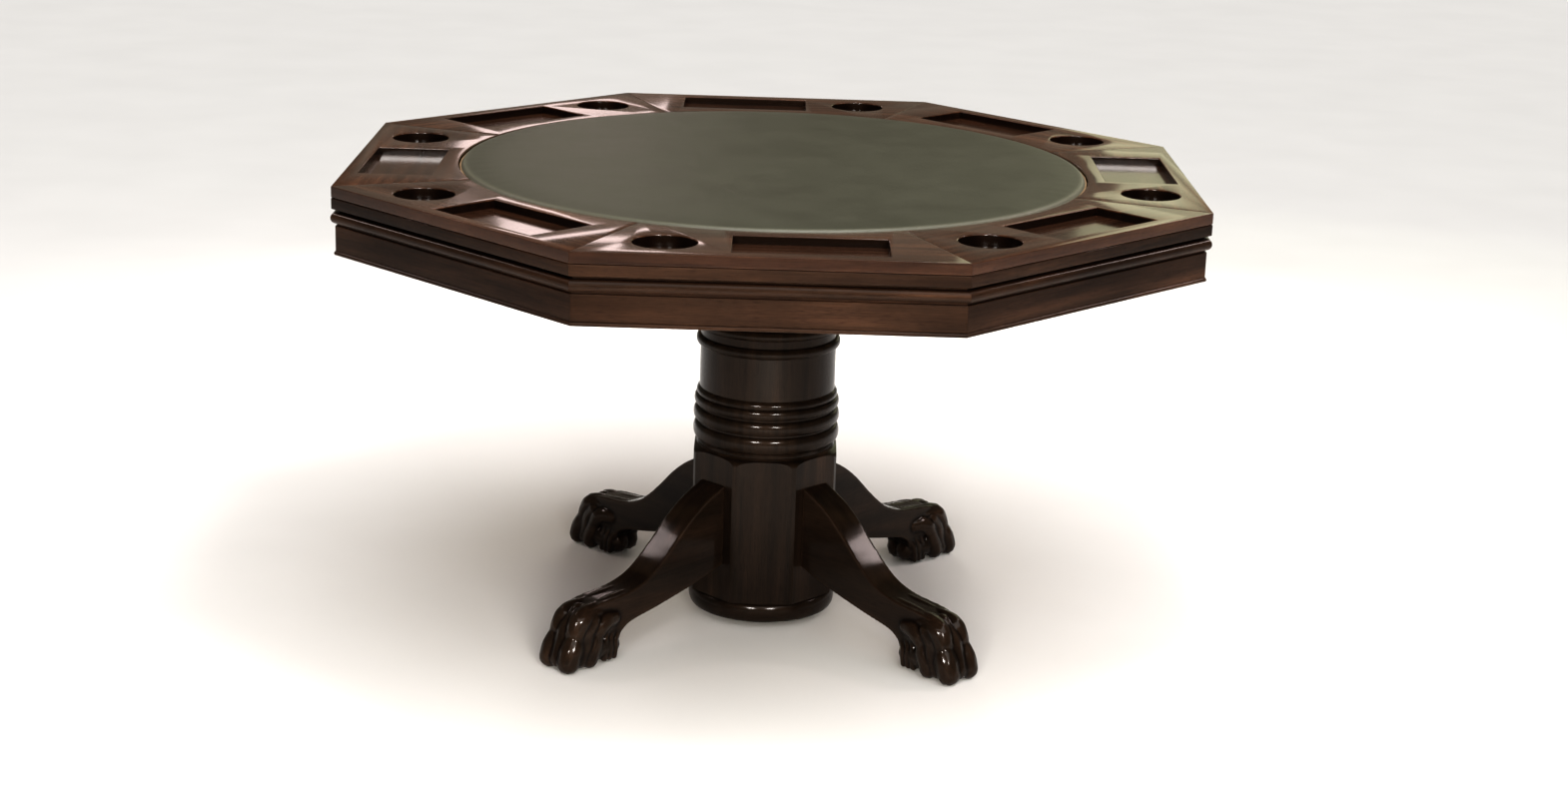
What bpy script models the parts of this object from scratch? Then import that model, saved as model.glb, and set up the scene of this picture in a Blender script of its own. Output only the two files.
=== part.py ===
"""Octagonal pedestal game table with a lift-off top.

The top is one slab in two layers: a mitred ring of eight boards, each with a bored cup well and a
chip tray, round a padded playing disc, glued to a plain octagonal dining panel.  It rests on a
shallow octagonal box of mitred rails and aprons, which sits on a turned column with four carved
paw legs on the diagonals.  Units are metres, +Z is up and the floor is z = 0.
"""
import math

import bmesh
import bpy
from mathutils import Matrix

# ---- driving dimensions ------------------------------------------------------------------------
SIDES = 8
HALF_TAN = math.tan(math.pi / SIDES)   # half a side's length over its distance from the centre
GAP = 0.0003                           # clearance between pieces that touch
MITRE_GAP = 0.0002                     # each mitred end stops this short of the mitre plane

APOTHEM = 0.673                        # centre to the slab's straight edge
RIM_TOP = 0.762                        # wooden top surface above the floor
LAYER = 0.018                          # thickness of each of the slab's two layers
SPLIT = RIM_TOP - LAYER                # joint between the two layers
EASE = 0.0015                          # chamfer on visible board edges

FIELD_RADIUS = 0.5085                  # round opening in the mitred ring
FIELD_STEPS = 8                        # straight steps of that opening on each board
BOARD_TOP = 0.7575
PAD_RADIUS = 0.507
PAD_TOP = 0.766
PAD_ROLL = 0.008                       # radius of the pad's rolled edge

CUP_CENTRE = (0.594, -0.150)           # outward and sideways, on each board
CUP_RADIUS = 0.0465
TRAY_OUT = (0.535, 0.650)
TRAY_SIDE = (-0.055, 0.168)
TRAY_DEPTH = 0.013

PANEL_BOTTOM = 0.7263
LANDING_TOP = 0.7260                   # what the dining panel rests on
NOSE_TOP = 0.7215
NOSE_BOTTOM = 0.7035
NOSE_PROUD = 0.0015                    # the half-round nose stands past the slab's edge
LANDING_SET_BACK = 0.0115              # inner neck between the slab and the nose
RAIL_WIDTH = 0.070

APRON_SET_BACK = 0.0053
APRON_THICKNESS = 0.020
APRON_BOTTOM = 0.6537
BEAD_TOP = 0.6605
BEAD_PROUD = 0.0025
APRON_STEP = 0.7005                    # top of the apron's face, under a 3 mm quirk

BEARER_BOTTOM = 0.6628
BEARER_TOP = 0.7030
BEARER_WIDTH = 0.060
BEARER_OFFSET = 0.120                  # bearer centre line from the table's centre
PLATE_SIZE = (0.36, 0.34)
PLATE_BOTTOM = 0.6405
PLATE_TOP = 0.6625

COLUMN_BORE = 0.060                    # the column is glued up from staves round this hollow
CAP_BOTTOM = 0.5603
NECK_BOTTOM = 0.5123
NECK_RADIUS = 0.110
DRUM_BOTTOM = 0.3923
COLLAR_BOTTOM = 0.2963
POST_BOTTOM = 0.0460
POST_APOTHEM = 0.1185                  # centre to each of the post's eight flats
POST_TURNED = 0.1265                   # radius of the turned stock left at the corners
BASE_BOTTOM = 0.0135
DRUM_RADIUS = 0.1125
RING_RADIUS = 0.1195
COLLAR_RADIUS = 0.1215
BASE_RADIUS = 0.1235
TURNED_STEPS = 32

ROD_RADIUS = 0.0055
ROD_HOLE = 0.0066
NUT_HOLE = 0.0062
NUT_RADIUS = 0.0095
NUT_HEIGHT = 0.009
BOLT_RADIUS = 0.004
BOLT_HOLE = 0.0047
BOLT_HEIGHT = 0.170
BOLT_SPAN = (0.0455, 0.165)            # bolt head to tip, from the column's axis

LEG_THICKNESS = 0.055
LEG_ROOT = POST_APOTHEM + GAP
LEG_AZIMUTHS = {"front_left": -45, "front_right": 45, "back_right": 135, "back_left": 225}
PAW_CENTRE = 0.420                     # distance of the paw's toe fan from the table's centre
PAW_STEPS = 28
TOE_PITCH = 47                         # degrees between toes
SOLE = 0.002
GLIDE_RADIUS = 0.0135
GLIDE_HEIGHT = 0.005
GLIDE_CENTRE = 0.400


# ---- helpers -----------------------------------------------------------------------------------
def clear_scene():
    for old in list(bpy.data.objects):
        bpy.data.objects.remove(old, do_unlink=True)


def make_material(name, colour, roughness, metallic=0.0):
    mat = bpy.data.materials.new(name)
    mat.use_nodes = True
    shader = mat.node_tree.nodes["Principled BSDF"]
    shader.inputs["Base Color"].default_value = (*colour, 1.0)
    shader.inputs["Roughness"].default_value = roughness
    shader.inputs["Metallic"].default_value = metallic
    return mat


def facing(azimuth):
    """Turn local +X to point outward at an azimuth counted from the front (-Y) towards +X."""
    return Matrix.Rotation(math.radians(azimuth - 90.0), 4, "Z")


def add(name, bm, mat, matrix=None, smooth=None):
    """Link a bmesh as an object; smooth is the angle in degrees below which edges are soft."""
    bmesh.ops.recalc_face_normals(bm, faces=bm.faces)
    mesh = bpy.data.meshes.new(name)
    bm.to_mesh(mesh)
    bm.free()
    if smooth:
        mesh.shade_smooth()
        mesh.set_sharp_from_angle(angle=math.radians(smooth))
    obj = bpy.data.objects.new(name, mesh)
    bpy.context.scene.collection.objects.link(obj)
    obj.matrix_world = matrix or Matrix.Identity(4)
    if mat:
        mesh.materials.append(mat)
    return obj


def add_tool(name, bm, matrix=None):
    """A cutter or a shape to be joined: never part of the table by itself."""
    tool = add(name, bm, None, matrix)
    tool.hide_render = True
    tool.display_type = "WIRE"
    return tool


def combine(obj, tool, operation):
    mod = obj.modifiers.new(tool.name, "BOOLEAN")
    mod.operation = operation
    mod.solver = "EXACT"
    mod.object = tool


def stretch(bm, rings, closed):
    """Skin a list of vertex rings with quads; closed joins the last ring to the first."""
    count = len(rings)
    for i in range(count if closed else count - 1):
        ring, after = rings[i], rings[(i + 1) % count]
        for j in range(len(ring)):
            k = (j + 1) % len(ring)
            bm.faces.new((ring[j], ring[k], after[k], after[j]))


def prism(outline, low, high):
    """Extrude an outline of (x, y) points from z = low to z = high."""
    bm = bmesh.new()
    rings = [[bm.verts.new((x, y, z)) for x, y in outline] for z in (low, high)]
    bm.faces.new(rings[0])
    bm.faces.new(rings[1])
    stretch(bm, rings, closed=False)
    bmesh.ops.recalc_face_normals(bm, faces=bm.faces)
    return bm


def turned(section, steps=TURNED_STEPS):
    """Turn a closed section of (radius, z) points into a hollow ring round the Z axis."""
    bm = bmesh.new()
    rings = []
    for i in range(steps):
        turn = 2.0 * math.pi * i / steps
        rings.append([bm.verts.new((r * math.cos(turn), r * math.sin(turn), z)) for r, z in section])
    stretch(bm, rings, closed=True)
    return bm


def turned_solid(profile, steps=TURNED_STEPS):
    """Turn an open profile of (radius, z) points, closed by a flat face at each end."""
    bm = bmesh.new()
    rings = []
    for r, z in profile:
        turns = [2.0 * math.pi * i / steps for i in range(steps)]
        rings.append([bm.verts.new((r * math.cos(t), r * math.sin(t), z)) for t in turns])
    stretch(bm, rings, closed=False)
    bm.faces.new(rings[0])
    bm.faces.new(rings[-1])
    return bm


def mitred(section, half_tan=HALF_TAN):
    """Run a closed section of (outward, z) points along one side, with both ends mitred."""
    bm = bmesh.new()
    ends = []
    for sign in (-1, 1):
        ends.append([bm.verts.new((u, sign * (u * half_tan - MITRE_GAP), z)) for u, z in section])
    stretch(bm, ends, closed=False)
    bm.faces.new(ends[0])
    bm.faces.new(ends[1])
    return bm


def bead(base, peak, top, bottom, steps=4):
    """Half-oval moulding of (radius, z) points, standing from radius base out to peak."""
    middle, half = (top + bottom) / 2.0, (top - bottom) / 2.0
    turns = [math.pi * i / steps for i in range(steps + 1)]
    return [(base + (peak - base) * math.sin(t), middle + half * math.cos(t)) for t in turns]


def arc(centre, radius, start, end, steps):
    """Points of an arc in the plane of a section, angles in degrees."""
    turns = [math.radians(start + (end - start) * i / steps) for i in range(steps + 1)]
    return [(centre[0] + radius * math.cos(t), centre[1] + radius * math.sin(t)) for t in turns]


def rod_along_x(radius, start, end, height, steps=12):
    bm = turned_solid([(radius, start), (radius, end)], steps)
    bm.transform(Matrix.Translation((0, 0, height)) @ Matrix.Rotation(math.pi / 2.0, 4, "Y"))
    return bm


# ---- the slab ----------------------------------------------------------------------------------
def rim_board():
    """One board of the mitred ring: straight outside, round inside, chamfered on both faces."""
    outer = APOTHEM * HALF_TAN - MITRE_GAP
    inner_half = math.atan(HALF_TAN) - MITRE_GAP / FIELD_RADIUS
    outline = [(APOTHEM, -outer), (APOTHEM, outer)]
    for i in range(FIELD_STEPS + 1):
        turn = inner_half * (1.0 - 2.0 * i / FIELD_STEPS)
        outline.append((FIELD_RADIUS * math.cos(turn), FIELD_RADIUS * math.sin(turn)))
    bm = prism(outline, SPLIT + GAP, RIM_TOP)

    def eased(edge):
        ends = [vert.co for vert in edge.verts]
        on_top = all(abs(co.z - RIM_TOP) < 1e-6 for co in ends)
        outside = all(co.x > APOTHEM - 1e-6 for co in ends)
        return on_top or (outside and abs(ends[0].z - ends[1].z) < 1e-6)

    edges = [edge for edge in bm.edges if eased(edge)]
    bmesh.ops.bevel(bm, geom=edges, offset=EASE, segments=1, affect="EDGES", clamp_overlap=True)
    return bm


def rim_recesses():
    """The cup well goes right through a board; the tray is a blind pocket."""
    over = RIM_TOP + 0.01
    cup = turned_solid([(CUP_RADIUS, over), (CUP_RADIUS, SPLIT - 0.01)], 24)
    cup.transform(Matrix.Translation((*CUP_CENTRE, 0.0)))
    corners = [(TRAY_OUT[a], TRAY_SIDE[b]) for a, b in ((0, 0), (1, 0), (1, 1), (0, 1))]
    tray = prism(corners, RIM_TOP - TRAY_DEPTH, over)
    scratch = bpy.data.meshes.new("tray_cut")
    tray.to_mesh(scratch)
    tray.free()
    cup.from_mesh(scratch)
    bpy.data.meshes.remove(scratch)
    return cup


def build_slab(wood, veneer, board, vinyl):
    for k in range(SIDES):
        turn = facing(360.0 / SIDES * k)
        segment = add(f"rim_segment_{k + 1}", rim_board(), wood, turn)
        combine(segment, add_tool(f"recess_{k + 1}", rim_recesses(), turn), "DIFFERENCE")

    corner = APOTHEM / math.cos(math.pi / SIDES)
    turns = [2.0 * math.pi * (i + 0.5) / SIDES for i in range(SIDES)]
    octagon = [(corner * math.cos(t), corner * math.sin(t)) for t in turns]
    panel = prism(octagon, PANEL_BOTTOM, SPLIT)
    flat = [edge for edge in panel.edges if abs(edge.verts[0].co.z - edge.verts[1].co.z) < 1e-6]
    bmesh.ops.bevel(panel, geom=flat, offset=EASE, segments=1, affect="EDGES")
    add("dining_panel", panel, veneer)

    disc_steps = SIDES * FIELD_STEPS
    disc = turned_solid([(PAD_RADIUS, BOARD_TOP), (PAD_RADIUS, SPLIT + GAP)], disc_steps)
    add("playing_board", disc, board, facing(0), smooth=30)

    roll = arc((PAD_RADIUS - PAD_ROLL, PAD_TOP - PAD_ROLL), PAD_ROLL, 90, 0, 4)
    pad = turned_solid(roll + [(PAD_RADIUS, BOARD_TOP + GAP)], disc_steps)
    add("playing_pad", pad, vinyl, facing(0), smooth=40)


# ---- the box under the slab --------------------------------------------------------------------
def rail_section():
    """Flat rail with a half-round nose, stepped up inside to the landing for the slab."""
    nose_centre = (NOSE_TOP + NOSE_BOTTOM) / 2.0
    nose_radius = (NOSE_TOP - NOSE_BOTTOM) / 2.0
    nose = arc((APOTHEM + NOSE_PROUD - nose_radius, nose_centre), nose_radius, 90, -90, 6)
    inner = APOTHEM - RAIL_WIDTH
    landing = APOTHEM - LANDING_SET_BACK
    step = [(inner, LANDING_TOP), (landing, LANDING_TOP), (landing, NOSE_TOP)]
    return step + nose + [(inner, NOSE_BOTTOM)]


def apron_section():
    face = APOTHEM - APRON_SET_BACK
    back = face - APRON_THICKNESS
    quirk = face - 0.0035
    proud = face + BEAD_PROUD
    bead_points = arc((proud - 0.003, (BEAD_TOP + APRON_BOTTOM) / 2.0), 0.003, 60, -60, 3)
    top = [(back, NOSE_BOTTOM - GAP), (quirk, NOSE_BOTTOM - GAP), (quirk, APRON_STEP)]
    front = [(face - 0.001, APRON_STEP), (face, APRON_STEP - 0.001), (face, BEAD_TOP)]
    return top + front + bead_points + [(face - 0.001, APRON_BOTTOM), (back, APRON_BOTTOM)]


def corner_block():
    """Glue block across the inside of one corner; local +X points to the corner."""
    inside = (APOTHEM - APRON_SET_BACK - APRON_THICKNESS - GAP) / math.cos(math.pi / SIDES)
    lean = math.pi / 2.0 - math.pi / SIDES
    reach, depth = 0.095, 0.036
    right = (inside - reach * math.cos(lean), reach * math.sin(lean))
    shoulder = (right[0] - depth, right[1] - 0.018)
    outline = [(inside - 0.0004, 0.0), right, shoulder]
    outline += [(shoulder[0], -shoulder[1]), (right[0], -right[1])]
    return prism(outline, APRON_BOTTOM + 0.008, NOSE_BOTTOM - GAP)


def build_box(wood, carcass):
    for k in range(SIDES):
        turn = facing(360.0 / SIDES * k)
        add(f"rim_rail_{k + 1}", mitred(rail_section()), wood, turn, smooth=40)
        add(f"apron_board_{k + 1}", mitred(apron_section()), wood, turn, smooth=30)
        add(f"corner_block_{k + 1}", corner_block(), carcass, facing(360.0 / SIDES * (k + 0.5)))

    reach = APOTHEM - APRON_SET_BACK - APRON_THICKNESS - GAP
    for name, side in (("front", -1), ("back", 1)):
        middle = side * BEARER_OFFSET
        near, far = middle - BEARER_WIDTH / 2.0, middle + BEARER_WIDTH / 2.0
        outline = [(-reach, near), (reach, near), (reach, far), (-reach, far)]
        add(f"bearer_{name}", prism(outline, BEARER_BOTTOM, BEARER_TOP), carcass)


# ---- the pedestal ------------------------------------------------------------------------------
def build_pedestal(wood, carcass, steel):
    half_x, half_y = PLATE_SIZE[0] / 2.0, PLATE_SIZE[1] / 2.0
    cut = 0.05
    right = [(half_x - cut, -half_y), (half_x, cut - half_y)]
    right += [(half_x, half_y - cut), (half_x - cut, half_y)]
    plate_outline = right + [(-x, -y) for x, y in right]
    plate = add("head_plate", prism(plate_outline, PLATE_BOTTOM, PLATE_TOP), carcass)
    hole = turned_solid([(ROD_HOLE, PLATE_TOP + 0.01), (ROD_HOLE, PLATE_BOTTOM - 0.01)], 12)
    combine(plate, add_tool("plate_hole", hole), "DIFFERENCE")

    cap_top = PLATE_BOTTOM - GAP
    cove = arc((0.151, 0.578), 0.040, 180, 100, 4)
    cap_outside = [(NECK_RADIUS, CAP_BOTTOM)] + cove + [(0.155, 0.622), (0.155, cap_top)]
    cap = [(COLUMN_BORE, cap_top), (COLUMN_BORE, CAP_BOTTOM)] + cap_outside
    add("pedestal_cap", turned(cap), wood, smooth=40)

    neck_low, neck_top = NECK_BOTTOM, CAP_BOTTOM - GAP
    neck_inside = [(COLUMN_BORE, neck_top), (COLUMN_BORE, neck_low)]
    neck = neck_inside + [(NECK_RADIUS, neck_low), (NECK_RADIUS, neck_top)]
    add("pedestal_neck", turned(neck), wood, smooth=40)

    drum_top = NECK_BOTTOM - GAP
    drum_outside = [(0.111, drum_top)]
    drum_outside += bead(0.112, RING_RADIUS, 0.5095, 0.4935)
    drum_outside += bead(DRUM_RADIUS, RING_RADIUS, 0.4810, 0.4635)
    drum_outside += [(DRUM_RADIUS, DRUM_BOTTOM)]
    drum = [(COLUMN_BORE, DRUM_BOTTOM), (COLUMN_BORE, drum_top)] + drum_outside
    add("pedestal_drum", turned(drum), wood, smooth=40)

    collar_top = DRUM_BOTTOM - GAP
    collar_outside = [(DRUM_RADIUS, collar_top)]
    collar_outside += [(0.1165, 0.3875), (0.1170, 0.3820), (0.1160, 0.3790)]
    collar_outside += bead(0.1160, COLLAR_RADIUS - 0.001, 0.3780, 0.3620)
    collar_outside += bead(0.1150, COLLAR_RADIUS, 0.3575, 0.3350)
    collar_outside += bead(0.1150, COLLAR_RADIUS, 0.3310, 0.3040)
    collar_outside += [(0.1130, COLLAR_BOTTOM)]
    collar = [(COLUMN_BORE, COLLAR_BOTTOM), (COLUMN_BORE, collar_top)] + collar_outside
    add("pedestal_collar", turned(collar), wood, smooth=40)

    post_top = COLLAR_BOTTOM - GAP
    post_section = [
        (COLUMN_BORE, POST_BOTTOM), (COLUMN_BORE, post_top), (0.1135, post_top), (0.1165, 0.2915),
        (POST_TURNED, 0.2850), (POST_TURNED, POST_BOTTOM),
    ]
    post = add("pedestal_post", turned(post_section), wood, smooth=20)
    corner = POST_APOTHEM / math.cos(math.pi / SIDES)
    turns = [2.0 * math.pi * (i + 0.5) / SIDES for i in range(SIDES)]
    flats = prism([(corner * math.cos(t), corner * math.sin(t)) for t in turns], 0.0, 0.4)
    combine(post, add_tool("post_flats", flats), "INTERSECT")
    for name, azimuth in LEG_AZIMUTHS.items():
        drill = rod_along_x(BOLT_HOLE, COLUMN_BORE - 0.02, LEG_ROOT + 0.02, BOLT_HEIGHT)
        combine(post, add_tool(f"post_hole_{name}", drill, facing(azimuth)), "DIFFERENCE")

    base_top = POST_BOTTOM - GAP
    well, well_top = 0.015, 0.026
    base_outside = bead(BASE_RADIUS - 0.007, BASE_RADIUS, base_top - 0.0015, BASE_BOTTOM, 5)
    base_section = [(ROD_HOLE, base_top), (BASE_RADIUS - 0.007, base_top)] + base_outside
    base_section += [(well, BASE_BOTTOM), (well, well_top), (ROD_HOLE, well_top)]
    add("pedestal_base", turned(base_section), wood, smooth=40)

    rod = turned_solid([(ROD_RADIUS, 0.678), (ROD_RADIUS, BASE_BOTTOM + 0.001)], 12)
    add("tie_rod", rod, steel, smooth=40)
    for name, low in (("top", PLATE_TOP + GAP), ("bottom", well_top - GAP - NUT_HEIGHT)):
        nut = turned_solid([(NUT_RADIUS, low + NUT_HEIGHT), (NUT_RADIUS, low)], 6)
        nut = add(f"tie_nut_{name}", nut, steel)
        hole = turned_solid([(NUT_HOLE, low + 0.02), (NUT_HOLE, low - 0.01)], 12)
        combine(nut, add_tool(f"nut_hole_{name}", hole), "DIFFERENCE")


# ---- the legs ----------------------------------------------------------------------------------
def leg_plank():
    """S-curved plank seen from the side: (distance from the column's axis, z)."""
    top = [
        (LEG_ROOT, 0.244), (0.140, 0.235), (0.165, 0.2215), (0.190, 0.2035), (0.213, 0.1825),
        (0.236, 0.160), (0.262, 0.1375), (0.290, 0.1195), (0.330, 0.1085), (0.385, 0.1045), (0.425, 0.1030),
    ]
    underside = [
        (0.430, 0.050), (0.400, 0.030), (0.350, 0.035), (0.338, 0.050), (0.315, 0.0595),
        (0.262, 0.0700), (0.190, 0.0870), (0.150, 0.0980), (LEG_ROOT, 0.1090),
    ]
    bm = prism(top + underside, -LEG_THICKNESS / 2.0, LEG_THICKNESS / 2.0)
    bm.transform(Matrix.Rotation(math.pi / 2.0, 4, "X"))
    return bm


def paw():
    """Flared toe fan in front, narrow heel behind; each level is (z, front, side, back) reach."""
    levels = [
        (SOLE, 0.050, 0.035, 0.074), (0.010, 0.056, 0.040, 0.080), (0.022, 0.053, 0.041, 0.081),
        (0.038, 0.046, 0.038, 0.079), (0.055, 0.042, 0.036, 0.076), (0.075, 0.038, 0.034, 0.070),
        (0.092, 0.031, 0.031, 0.060), (0.1035, 0.015, 0.022, 0.045),
    ]
    bm = bmesh.new()
    rings = []
    for z, front, side, back in levels:
        ring = []
        for i in range(PAW_STEPS):
            degrees = 360.0 * i / PAW_STEPS - 180.0
            turn = math.radians(degrees)
            along = front if abs(degrees) < 90.0 else back
            valley = 0.5 - 0.5 * math.cos(math.radians(degrees * 360.0 / TOE_PITCH))
            carved = 1.0 - 0.10 * valley * (abs(degrees) < 118.0) * (z < 0.1)
            x = PAW_CENTRE + along * carved * math.cos(turn)
            ring.append(bm.verts.new((x, side * carved * math.sin(turn), z)))
        rings.append(ring)
    stretch(bm, rings, closed=False)
    bm.faces.new(rings[0])
    bm.faces.new(rings[-1])
    return bm


def build_legs(wood, steel, nylon):
    for name, azimuth in LEG_AZIMUTHS.items():
        turn = facing(azimuth)
        leg = add(f"leg_{name}", leg_plank(), wood, turn)
        combine(leg, add_tool(f"paw_{name}", paw(), turn), "UNION")
        rim = GLIDE_RADIUS + 0.0004
        socket = turned_solid([(rim, GLIDE_HEIGHT + GAP), (rim, -0.01)], 16)
        socket.transform(Matrix.Translation((GLIDE_CENTRE, 0, 0)))
        combine(leg, add_tool(f"glide_socket_{name}", socket, turn), "DIFFERENCE")
        drill = rod_along_x(BOLT_HOLE, LEG_ROOT - 0.02, BOLT_SPAN[1] + 0.003, BOLT_HEIGHT)
        combine(leg, add_tool(f"leg_hole_{name}", drill, turn), "DIFFERENCE")

        glide_outside = [(GLIDE_RADIUS, GLIDE_HEIGHT), (GLIDE_RADIUS, 0.001), (GLIDE_RADIUS - 0.001, 0.0)]
        glide = turned_solid(glide_outside, 16)
        glide.transform(Matrix.Translation((GLIDE_CENTRE, 0, 0)))
        add(f"foot_glide_{name}", glide, nylon, turn, smooth=40)

        shank = turned_solid([
            (0.0075, 0.0), (0.0075, 0.007), (0.011, 0.0072), (0.011, 0.0092),
            (BOLT_RADIUS, 0.0094), (BOLT_RADIUS, BOLT_SPAN[1] - BOLT_SPAN[0]),
        ], 12)
        place = Matrix.Translation((BOLT_SPAN[0], 0, BOLT_HEIGHT)) @ Matrix.Rotation(math.pi / 2.0, 4, "Y")
        shank.transform(place)
        add(f"leg_bolt_{name}", shank, steel, turn, smooth=40)


# ---- the table ---------------------------------------------------------------------------------
def build_table():
    clear_scene()
    gloss_wood = make_material("gloss_wood", (0.085, 0.035, 0.022), 0.18)
    body_wood = make_material("body_wood", (0.060, 0.024, 0.016), 0.22)
    veneer = make_material("veneer", (0.075, 0.031, 0.020), 0.20)
    carcass = make_material("carcass_wood", (0.46, 0.33, 0.20), 0.65)
    fibreboard = make_material("fibreboard", (0.36, 0.25, 0.15), 0.80)
    vinyl = make_material("playing_vinyl", (0.115, 0.120, 0.080), 0.70)
    steel = make_material("zinc_steel", (0.62, 0.62, 0.60), 0.35, 1.0)
    nylon = make_material("nylon", (0.55, 0.53, 0.48), 0.50)
    build_slab(gloss_wood, veneer, fibreboard, vinyl)
    build_box(body_wood, carcass)
    build_pedestal(body_wood, carcass, steel)
    build_legs(body_wood, steel, nylon)


build_table()
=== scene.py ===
"""The looks of the octagonal gaming table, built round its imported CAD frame.

Every wooden piece that shows gets its own finer mesh here, with rounded edges and a "grain"
attribute: the piece's own coordinates, turned so that X runs along the wood's fibres.  The wood
materials read that attribute, so the grain follows each board and moves with it.
"""
import math

import bmesh
import bpy
import numpy as np
from mathutils import Matrix, Vector


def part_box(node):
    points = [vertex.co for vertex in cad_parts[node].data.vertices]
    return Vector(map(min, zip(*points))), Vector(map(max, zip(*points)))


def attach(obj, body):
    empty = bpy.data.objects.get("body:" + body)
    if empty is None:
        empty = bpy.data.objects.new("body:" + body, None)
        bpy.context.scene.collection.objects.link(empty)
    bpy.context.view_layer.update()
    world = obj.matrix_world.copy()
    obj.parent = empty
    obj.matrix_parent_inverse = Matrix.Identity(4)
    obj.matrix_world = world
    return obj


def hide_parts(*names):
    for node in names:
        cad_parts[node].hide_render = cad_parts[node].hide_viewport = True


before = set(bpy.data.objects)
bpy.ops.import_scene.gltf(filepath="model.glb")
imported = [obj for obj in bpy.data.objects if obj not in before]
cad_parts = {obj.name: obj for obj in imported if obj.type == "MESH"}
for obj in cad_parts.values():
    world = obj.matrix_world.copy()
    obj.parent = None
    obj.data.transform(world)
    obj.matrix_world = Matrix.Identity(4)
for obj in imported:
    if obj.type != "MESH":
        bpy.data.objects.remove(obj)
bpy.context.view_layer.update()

SIDES = 8
HALF_TAN = math.tan(math.pi / SIDES)
MITRE_GAP = 0.0002
# How far the grain moves on from one piece to the next along X, Y and Z, and where it wraps.
GRAIN_STEPS = ((3.71, 9.0), (1.37, 5.0), (2.19, 7.0))


def low(node):
    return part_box(node)[0]


def high(node):
    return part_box(node)[1]


# ---- sizes that the frame gives ----------------------------------------------------------------
APOTHEM = -low("rim_segment_1").y
RIM_TOP = high("rim_segment_1").z
SPLIT = low("rim_segment_1").z
PANEL_TOP, PANEL_BOTTOM = high("dining_panel").z, low("dining_panel").z
LANDING_TOP, NOSE_BOTTOM = high("rim_rail_1").z, low("rim_rail_1").z
NOSE_OUT = -low("rim_rail_1").y
APRON_TOP, APRON_BOTTOM = high("apron_board_1").z, low("apron_board_1").z
APRON_OUT = -low("apron_board_1").y
PAD_RADIUS = high("playing_pad").x
PAD_TOP, PAD_BOTTOM = high("playing_pad").z, low("playing_pad").z


# ---- small tools -------------------------------------------------------------------------------
def facing(azimuth):
    """Turn local +X to point outward at an azimuth counted from the front (-Y) towards +X."""
    return Matrix.Rotation(math.radians(azimuth - 90.0), 4, "Z")


def to_object(name, bm):
    """Turn a bmesh into a linked object, and free it."""
    bmesh.ops.recalc_face_normals(bm, faces=bm.faces)
    mesh = bpy.data.meshes.new(name)
    bm.to_mesh(mesh)
    bm.free()
    obj = bpy.data.objects.new(name, mesh)
    bpy.context.scene.collection.objects.link(obj)
    return obj


def settle(obj):
    """Apply an object's modifiers to its mesh."""
    graph = bpy.context.evaluated_depsgraph_get()
    mesh = bpy.data.meshes.new_from_object(obj.evaluated_get(graph))
    old = obj.data
    obj.modifiers.clear()
    obj.data = mesh
    bpy.data.meshes.remove(old)
    return obj


def combine(obj, tools, operation):
    """Boolean obj with each tool in turn, and remove the tools."""
    for tool in tools:
        mod = obj.modifiers.new(tool.name, "BOOLEAN")
        mod.operation = operation
        mod.solver = "EXACT"
        mod.object = tool
    settle(obj)
    for tool in tools:
        bpy.data.objects.remove(tool)
    return obj


def smooth(obj, angle):
    """Smooth shading, with edges sharper than the angle (in degrees) kept crisp."""
    obj.data.shade_smooth()
    obj.data.set_sharp_from_angle(angle=math.radians(angle))
    return obj


def stretch(bm, rings, closed):
    """Skin a list of vertex rings with quads; closed joins the last ring to the first."""
    count = len(rings)
    for i in range(count if closed else count - 1):
        ring, after = rings[i], rings[(i + 1) % count]
        for j in range(len(ring)):
            k = (j + 1) % len(ring)
            bm.faces.new((ring[j], ring[k], after[k], after[j]))


def prism(outline, bottom, top):
    bm = bmesh.new()
    rings = [[bm.verts.new((x, y, z)) for x, y in outline] for z in (bottom, top)]
    bm.faces.new(rings[0])
    bm.faces.new(rings[1])
    stretch(bm, rings, closed=False)
    return bm


def arc(centre, radius, start, end, steps):
    """Points on an arc between two angles in degrees, both ends included."""
    turns = [math.radians(start + (end - start) * i / steps) for i in range(steps + 1)]
    return [(centre[0] + radius * math.cos(t), centre[1] + radius * math.sin(t)) for t in turns]


def bead(base, peak, top, bottom, steps=12):
    """Half-oval moulding of (radius, z) points, standing from radius base out to peak."""
    middle, half = (top + bottom) / 2.0, (top - bottom) / 2.0
    turns = [math.pi * i / steps for i in range(steps + 1)]
    return [(base + (peak - base) * math.sin(t), middle + half * math.cos(t)) for t in turns]


def turned(section, steps):
    """Turn a closed section of (radius, z) points round the Z axis."""
    bm = bmesh.new()
    rings = []
    for i in range(steps):
        turn = 2.0 * math.pi * i / steps
        across, ahead = math.cos(turn), math.sin(turn)
        rings.append([bm.verts.new((r * across, r * ahead, z)) for r, z in section])
    stretch(bm, rings, closed=True)
    return bm


def coordinates(mesh):
    """The mesh's vertex coordinates, one row for each vertex."""
    co = np.empty(len(mesh.vertices) * 3)
    mesh.vertices.foreach_get("co", co)
    return co.reshape(-1, 3)


def give_grain(mesh, along, piece):
    """Write the grain attribute: coordinates with X along the fibres, shifted for each piece."""
    order = {"x": (0, 1, 2), "y": (1, 0, 2), "z": (2, 0, 1)}[along]
    shift = np.array([math.fmod(piece * step, span) for step, span in GRAIN_STEPS])
    attribute = mesh.attributes.new("grain", "FLOAT_VECTOR", "POINT")
    attribute.data.foreach_set("vector", (coordinates(mesh)[:, order] + shift).ravel())


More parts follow.
